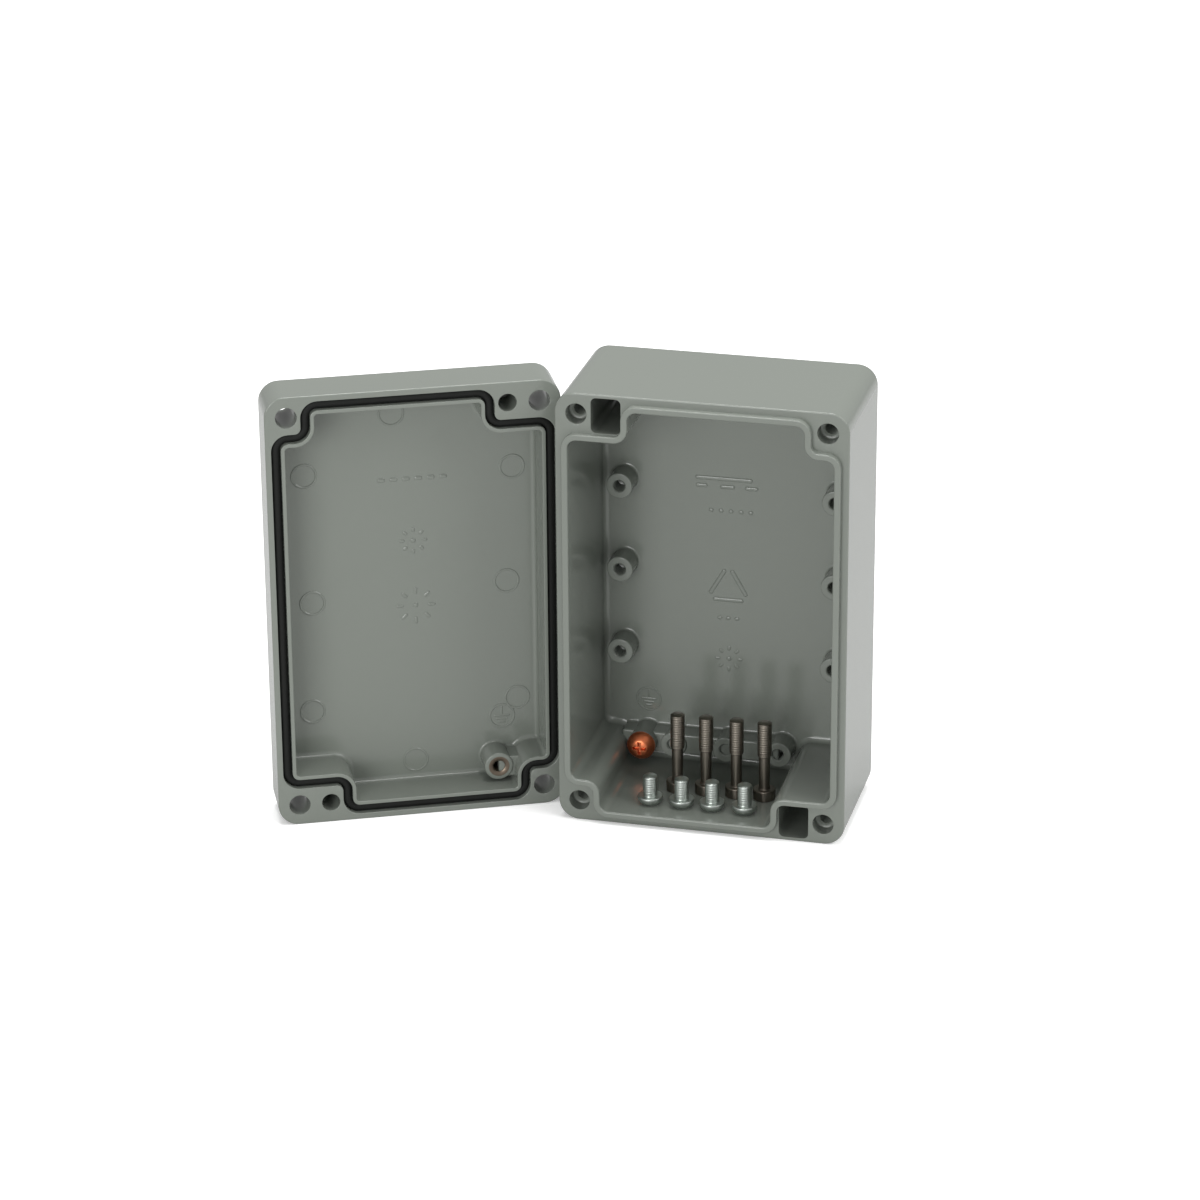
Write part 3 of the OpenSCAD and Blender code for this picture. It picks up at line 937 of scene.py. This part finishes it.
def ring_mark(surface, centre, radius, floor, box):
    """A low ring with sloping sides."""
    line, top = box.mark.line / 2, floor - box.mark.ring
    surface.turned(centre, [
        (radius + line, floor + ROOT / 3), (radius + line, floor - RING_EDGE),
        (radius + line / 2, top), (radius - line / 2, top),
        (radius - line, floor - RING_EDGE), (radius - line, floor + ROOT / 3)],
        closed=True, segments=64)


def bar_mark(surface, centre, width, height, floor, box, turn=0.0):
    """A low bar with rounded ends, turned about its centre. Its section is a circle's arc that
    leaves the wall at the crown's angle: inset = r (1 - sin a / sin c), w = -r (cos a - cos c) / sin c."""
    radius, crown = min(width, height) * BAR_ROUNDING, box.mark.crown
    cosine, sine = math.cos(turn), math.sin(turn)
    turned = np.array([(cosine, sine), (-sine, cosine)])
    slope = CROWN_ROWS * crown
    insets = radius * (1 - np.sin(slope) / math.sin(crown))
    depths = floor - radius * (np.cos(slope) - math.cos(crown)) / math.sin(crown)

    def outline(inset):
        return rectangle((0, 0), width, height, radius, inset, EDGE_SEGMENTS) @ turned + centre

    surface.prism(outline, [*zip(insets, depths), (0.0, floor + ROOT / 3)])


def bar_row(surface, first, pitch, number, width, height, floor, box):
    """A row of like bars, pitch apart, to the right of the first one's centre."""
    for place in range(number):
        bar_mark(surface, (first[0] + pitch * place, first[1]), width, height, floor, box)


def on_circle(centre, radius, turn):
    """The point at that angle on a circle."""
    return centre[0] + radius * math.cos(turn), centre[1] + radius * math.sin(turn)


def triangle_mark(surface, centre, radius, floor, box):
    """Three bars, one along the middle of each side of a triangle whose corners lie at radius.
    A side is 1.73 radii long and its bar 1.25 radii, so the corners stay open."""
    for turn in np.radians((-90, 30, 150)):
        spot = on_circle(centre, radius / 2, turn)
        bar_mark(surface, spot, 1.25 * radius, box.mark.bar, floor, box, turn + math.pi / 2)


def rosette_mark(surface, centre, radius, floor, box):
    """Eight bars that point to a middle pad, 0.36 radii long and 0.75 radii from the centre."""
    for turn in np.radians(np.arange(0, 360, 45)):
        spot = on_circle(centre, 0.75 * radius, turn)
        bar_mark(surface, spot, 0.36 * radius, 0.75 * box.mark.bar, floor, box, turn)
    bar_mark(surface, centre, SHORT_BAR, SHORT_BAR, floor, box)


def earth_mark(surface, centre, floor, box):
    """The plain earth sign in a ring: an upright line over three shorter and shorter bars."""
    radius, line = box.mark.earth_radius, box.mark.line
    ring_mark(surface, centre, radius, floor, box)
    middle, stem = EARTH_LINE
    bar_mark(surface, (centre[0], centre[1] + middle * radius), line, stem * radius, floor, box)
    for number, width in enumerate(EARTH_BARS):
        spot = (centre[0], centre[1] - (EARTH_STEP * number - EARTH_FIRST) * radius)
        bar_mark(surface, spot, width * radius, 1.2 * line, floor, box)


def build_base_marks(box):
    """The marks on the base's back wall: plain bars, a triangle, a rosette and the earth sign."""
    surface = Surface()
    floor, mark = box.casting.base_depth - box.casting.wall, box.mark
    for u, v, width, part in BASE_BARS:
        bar_mark(surface, (u, v), width, mark.bar * part, floor, box)
    bar_row(surface, *BASE_UPPER_ROW, SHORT_BAR, mark.bar * 0.95, floor, box)
    triangle_mark(surface, BASE_TRIANGLE, TRIANGLE_RADIUS, floor, box)
    bar_row(surface, *BASE_LOWER_ROW, SHORT_BAR, mark.bar * 0.9, floor, box)
    rosette_mark(surface, BASE_ROSETTE, mark.dial_radius, floor, box)
    earth_mark(surface, BASE_EARTH, floor, box)
    return surface.build("base_marks", on_base(box), finish_of(box, "casting"))


def build_lid_marks(box):
    """The marks on the lid's back wall: ejector rings, a row of bars, two rosettes and the earth
    sign."""
    surface = Surface()
    floor, mark = box.casting.lid_depth - box.casting.wall, box.mark
    for pin in LID_PINS:
        ring_mark(surface, pin, mark.pin_radius, floor, box)
    bar_row(surface, *LID_ROW, LID_ROW_BAR, mark.bar, floor, box)
    for u, v, size in LID_ROSETTES:
        rosette_mark(surface, (u, v), mark.dial_radius * size, floor, box)
    earth_mark(surface, LID_EARTH, floor, box)
    return surface.build("lid_marks", on_lid(box), finish_of(box, "casting"))


# --------------------------------------------------------------------------------------------
# Screws
# --------------------------------------------------------------------------------------------

# Every screw: from its head or collar to the first turn, from the last turn to the tip, and how
# much narrower the tip is than the thread
RUN_OUT = 0.0004
TIP_LENGTH = 0.0003
TIP_STEP = 0.0005
# Lid screws: the fillet under the head, the straight stretch at each end of the tapered shank,
# the collar's height, how much narrower it is than the thread, and how deep the halves beside
# the slot sink into the head
SHANK_FILLET = 0.0002
SHANK_END = 0.0003
COLLAR_HEIGHT = 0.0003
COLLAR_STEP = 0.00005
CHEEK_ROOT = 0.0001
# Domed screws: the neck under the head, how much narrower it ends, and the margin between the
# cross recess and the edge of the dome's flat middle
NECK_HEIGHT = 0.0003
NECK_STEP = 0.0001
RECESS_MARGIN = 0.0001


def half_disc(radius, chord, inset, upper):
    """The part of a disc beyond a chord, as an outline moved inwards by inset."""
    radius, chord = radius - inset, chord + inset
    start = math.degrees(math.asin(chord / radius))
    outline = arc(0, 0, radius, start, 180 - start, segments=24)
    return outline if upper else -outline


def threaded_end(box, start, top):
    """Rows of a screw's thread and tip, from the head or collar that ends at start."""
    crest = box.screw.thread_radius
    rows = thread(crest - box.screw.thread_depth, crest, box.hole.pitch,
                  start + RUN_OUT, top - TIP_LENGTH, fade=0.5)
    return rows + [(crest - TIP_STEP, top), (0.0, top)]


def head_edge(box, radius, head):
    """Rows of the rounded edge where a head's rim meets its underside."""
    edge = box.screw.edge
    return list(arc(radius - edge, head - edge, edge, 0, 90, EDGE_SEGMENTS))


def lid_screw(box, node):
    """A lid screw on its slotted head: two half discs beside the slot, a shank whose radius
    grows from waist to collar with the way to the power of 1.5, a small collar and a thread."""
    screw, edge = box.screw, box.screw.edge
    low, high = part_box(node)
    top, radius = high[2] - low[2], (high[0] - low[0]) / 2
    head, slot_end, waist = screw.lid_head, screw.slot_depth, screw.waist_radius
    surface = Surface()
    cheek = np.vstack([arc(edge, edge, edge, -90, -180, MOUTH_SEGMENTS), (0, slot_end + CHEEK_ROOT)])
    for upper in (True, False):
        surface.prism(lambda inset: half_disc(radius, screw.slot / 2, inset, upper), cheek)
    rows = [(0.0, slot_end), (radius, slot_end)] + head_edge(box, radius, head)
    rows += [(waist + SHANK_FILLET, head), (waist, head + SHANK_FILLET)]
    start = top - screw.lid_thread
    way = np.linspace(0, 1, 9)
    shank = waist + (screw.shank_radius - waist) * way ** 1.5
    rows += list(zip(shank, head + SHANK_END + (start - head - 2 * SHANK_END) * way))
    collar = screw.thread_radius - COLLAR_STEP
    rows += [(collar, start), (collar, start + COLLAR_HEIGHT)]
    surface.turned((0, 0), rows + threaded_end(box, start, top))
    return surface.build(
        node + "_turned", standing(node), finish_of(box, "stainless"), node)


def domed_screw(box, node, place, head, top, radius, slot):
    """A screw with a domed, cross-recessed head from w = 0 to head and a thread to w = top.

    The dome is part of a sphere between the flat middle and the straight rim:
    radius^2 = middle^2 + 2 reach w - w^2, with the reach that brings it to the rim's radius.
    """
    screw, middle = box.screw, box.screw.thread_radius
    dome = head - screw.head_rim
    reach = (radius ** 2 - middle ** 2 + dome ** 2) / (2 * dome)
    surface = Surface()
    w = np.linspace(0, dome, 9)
    rows = list(zip(np.sqrt(middle ** 2 + 2 * reach * w - w ** 2), w)) + head_edge(box, radius, head)
    rows += [(middle, head), (middle - NECK_STEP, head + NECK_HEIGHT)]
    surface.turned((0, 0), rows + threaded_end(box, head, top))

    def recess(inset):
        return cross(2 * (middle - RECESS_MARGIN), screw.slot, inset)

    surface.flat([circle((0, 0), middle), recess(0.0)], 0.0)
    surface.band(recess, [(0.0, 0.0), (screw.taper, screw.cross_depth)])
    surface.flat([recess(screw.taper)], screw.cross_depth)
    return surface.build(node + "_turned", place, finish_of(box, slot), node)


def nodes_named(start):
    """The frame's nodes whose names begin with start, in order."""
    return sorted(node for node in frame["nodes"] if node.startswith(start))


def build_plate_screws(box):
    """The mounting-plate screws, standing on their heads."""
    for node in nodes_named("plate_screw"):
        low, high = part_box(node)
        domed_screw(box, node, standing(node), box.screw.plate_head, high[2] - low[2],
                    (high[0] - low[0]) / 2, "zinc")


def build_lid_screws(box):
    """The lid screws, standing on their heads."""
    for node in nodes_named("lid_screw"):
        lid_screw(box, node)


def build_earth_screw(box):
    """The earth screw, driven into the base's earth boss."""
    low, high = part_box("earth_screw")
    domed_screw(box, "earth_screw", driven("earth_screw"), box.screw.earth_head, high[1] - low[1],
                (high[0] - low[0]) / 2, "copper_finish")


# --------------------------------------------------------------------------------------------
# The stage
# --------------------------------------------------------------------------------------------

# From the object's middle to the floor's edges and to each light
FLOOR_REACH = 4.0
LIGHT_DISTANCE = 1.6
# Each light's name, its direction from the object and the length of its sides
LIGHTS = (
    ("key", (0.75, -0.1, 0.65), 1.0),
    ("top", (0.0, 0.05, 1.0), 0.8),
    ("front", (-0.15, -0.95, 0.16), 0.8))


def build_floor(stage, low, high):
    """A plain pale floor under the object. The camera sees its own colour, and the object gets
    the bounce colour's light from it."""
    material, tree, bounce = new_material("matt white floor", stage.floor_bounce, roughness=0.9)
    seen = add_node(tree, "ShaderNodeBsdfPrincipled", Base_Color=tuple(stage.floor), Roughness=0.9,
                    Emission_Color=(1, 1, 1, 1), Emission_Strength=stage.floor_lift)
    path = add_node(tree, "ShaderNodeLightPath")
    mix = add_node(tree, "ShaderNodeMixShader")
    tree.links.new(path.outputs["Is Camera Ray"], mix.inputs["Fac"])
    tree.links.new(bounce.outputs["BSDF"], mix.inputs[1])
    tree.links.new(seen.outputs["BSDF"], mix.inputs[2])
    tree.links.new(mix.outputs["Shader"], tree.nodes["Material Output"].inputs["Surface"])
    middle = (low + high) / 2
    corners = np.array([(-1, -1), (1, -1), (1, 1), (-1, 1)]) * FLOOR_REACH + middle[:2]
    mesh = bpy.data.meshes.new("floor")
    mesh.from_pydata(np.column_stack([corners, np.full(4, low[2])]), [], [(0, 1, 2, 3)])
    mesh.materials.append(material)
    floor = bpy.data.objects.new("floor", mesh)
    bpy.context.scene.collection.objects.link(floor)
    floor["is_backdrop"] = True


def build_light(name, target, direction, size, watts):
    """A square area light that faces the target from that direction."""
    data = bpy.data.lights.new(name, "AREA")
    data.energy = watts
    data.size = size
    lamp = bpy.data.objects.new(name, data)
    away = Vector(direction).normalized()
    turn = away.to_track_quat("Z", "Y").to_matrix().to_4x4()
    lamp.matrix_world = Matrix.Translation(Vector(target) + away * LIGHT_DISTANCE) @ turn
    bpy.context.scene.collection.objects.link(lamp)
    lamp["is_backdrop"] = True


def build_surround(stage):
    """Even light from all sides, and plain white where the camera sees past the floor."""
    world = bpy.data.worlds.new("surround")
    world.use_nodes = True
    tree = world.node_tree
    tree.nodes.clear()
    light = add_node(tree, "ShaderNodeBackground", Color=(1, 1, 1, 1), Strength=stage.surround)
    white = add_node(tree, "ShaderNodeBackground", Color=(1, 1, 1, 1), Strength=1.0)
    path = add_node(tree, "ShaderNodeLightPath")
    mix = add_node(tree, "ShaderNodeMixShader")
    output = add_node(tree, "ShaderNodeOutputWorld")
    tree.links.new(path.outputs["Is Camera Ray"], mix.inputs["Fac"])
    tree.links.new(light.outputs["Background"], mix.inputs[1])
    tree.links.new(white.outputs["Background"], mix.inputs[2])
    tree.links.new(mix.outputs["Shader"], output.inputs["Surface"])
    bpy.context.scene.world = world


def build_camera(stage, middle):
    """The camera, turned about the object's middle and aimed beside it."""
    data = bpy.data.cameras.new("camera")
    data.lens = stage.lens
    data.sensor_width = 36.0
    data.clip_end = 20.0
    camera = bpy.data.objects.new("camera", data)
    turn = (Matrix.Rotation(stage.azimuth, 4, "Z")
            @ Matrix.Rotation(math.pi / 2 - stage.elevation, 4, "X"))
    target = Vector(middle) + Vector(stage.aim)
    away = turn @ Vector((0, 0, stage.distance))
    camera.matrix_world = (Matrix.Translation(target + away) @ turn
                           @ Matrix.Rotation(stage.roll, 4, "Z"))
    bpy.context.scene.collection.objects.link(camera)
    bpy.context.scene.camera = camera


def build_stage(box):
    """Floor, lights, surround and camera."""
    stage = box.stage
    bpy.context.scene.view_settings.view_transform = "Standard"
    low, high = (np.array(c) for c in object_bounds())
    middle = (low + high) / 2
    build_floor(stage, low, high)
    build_surround(stage)
    for name, direction, size in LIGHTS:
        build_light(name + " light", middle, direction, size, getattr(stage, name + "_power"))
    build_camera(stage, middle)


# --------------------------------------------------------------------------------------------
# Operators and panel
# --------------------------------------------------------------------------------------------

class BOX_OT_base(bpy.types.Operator):
    """Builds the base casting and its raised marks"""
    bl_idname = "die_cast_box.base"
    bl_label = "Base"
    bl_options = {"REGISTER", "UNDO"}

    def execute(self, context):
        build_base(context.scene.die_cast_box)
        build_base_marks(context.scene.die_cast_box)
        return {"FINISHED"}


class BOX_OT_lid(bpy.types.Operator):
    """Builds the lid casting, its raised marks and its bare earth thread"""
    bl_idname = "die_cast_box.lid"
    bl_label = "Lid"
    bl_options = {"REGISTER", "UNDO"}

    def execute(self, context):
        build_lid(context.scene.die_cast_box)
        build_lid_marks(context.scene.die_cast_box)
        build_lid_earth(context.scene.die_cast_box)
        return {"FINISHED"}


class BOX_OT_gasket(bpy.types.Operator):
    """Builds the gasket in the lid's groove"""
    bl_idname = "die_cast_box.gasket"
    bl_label = "Gasket"
    bl_options = {"REGISTER", "UNDO"}

    def execute(self, context):
        build_gasket(context.scene.die_cast_box)
        return {"FINISHED"}


class BOX_OT_lid_screws(bpy.types.Operator):
    """Builds the four lid screws"""
    bl_idname = "die_cast_box.lid_screws"
    bl_label = "Lid Screws"
    bl_options = {"REGISTER", "UNDO"}

    def execute(self, context):
        build_lid_screws(context.scene.die_cast_box)
        return {"FINISHED"}


class BOX_OT_plate_screws(bpy.types.Operator):
    """Builds the four mounting-plate screws"""
    bl_idname = "die_cast_box.plate_screws"
    bl_label = "Mounting-Plate Screws"
    bl_options = {"REGISTER", "UNDO"}

    def execute(self, context):
        build_plate_screws(context.scene.die_cast_box)
        return {"FINISHED"}


class BOX_OT_earth_screw(bpy.types.Operator):
    """Builds the earth screw"""
    bl_idname = "die_cast_box.earth_screw"
    bl_label = "Earth Screw"
    bl_options = {"REGISTER", "UNDO"}

    def execute(self, context):
        build_earth_screw(context.scene.die_cast_box)
        return {"FINISHED"}


class BOX_OT_stage(bpy.types.Operator):
    """Builds the floor, the lights, the surround and the camera"""
    bl_idname = "die_cast_box.stage"
    bl_label = "Stage"
    bl_options = {"REGISTER", "UNDO"}

    def execute(self, context):
        build_stage(context.scene.die_cast_box)
        return {"FINISHED"}


OPERATORS = (
    BOX_OT_base, BOX_OT_lid, BOX_OT_gasket, BOX_OT_lid_screws, BOX_OT_plate_screws,
    BOX_OT_earth_screw, BOX_OT_stage)


class BOX_PT_panel(bpy.types.Panel):
    """Lists the pieces, each with a button that builds it"""
    bl_idname = "BOX_PT_panel"
    bl_label = "Die Cast Box"
    bl_space_type = "VIEW_3D"
    bl_region_type = "UI"
    bl_category = "Die Cast Box"

    def draw(self, context):
        for operator in OPERATORS:
            self.layout.operator(operator.bl_idname)


CLASSES = (
    CastingSettings, SealSettings, HoleSettings, BossSettings, ScrewSettings, MarkSettings,
    FinishSettings, StageSettings, BoxSettings, *OPERATORS, BOX_PT_panel)


def register():
    """Registers the classes and the scene's settings."""
    for cls in CLASSES:
        bpy.utils.register_class(cls)
    bpy.types.Scene.die_cast_box = bpy.props.PointerProperty(type=BoxSettings)


def unregister():
    """Removes what register added."""
    del bpy.types.Scene.die_cast_box
    for cls in reversed(CLASSES):
        bpy.utils.unregister_class(cls)


def main():
    """Builds every piece in order."""
    register()
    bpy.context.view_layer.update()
    for operator in OPERATORS:
        group, name = operator.bl_idname.split(".")
        getattr(getattr(bpy.ops, group), name)()


if __name__ == "__main__":
    main()
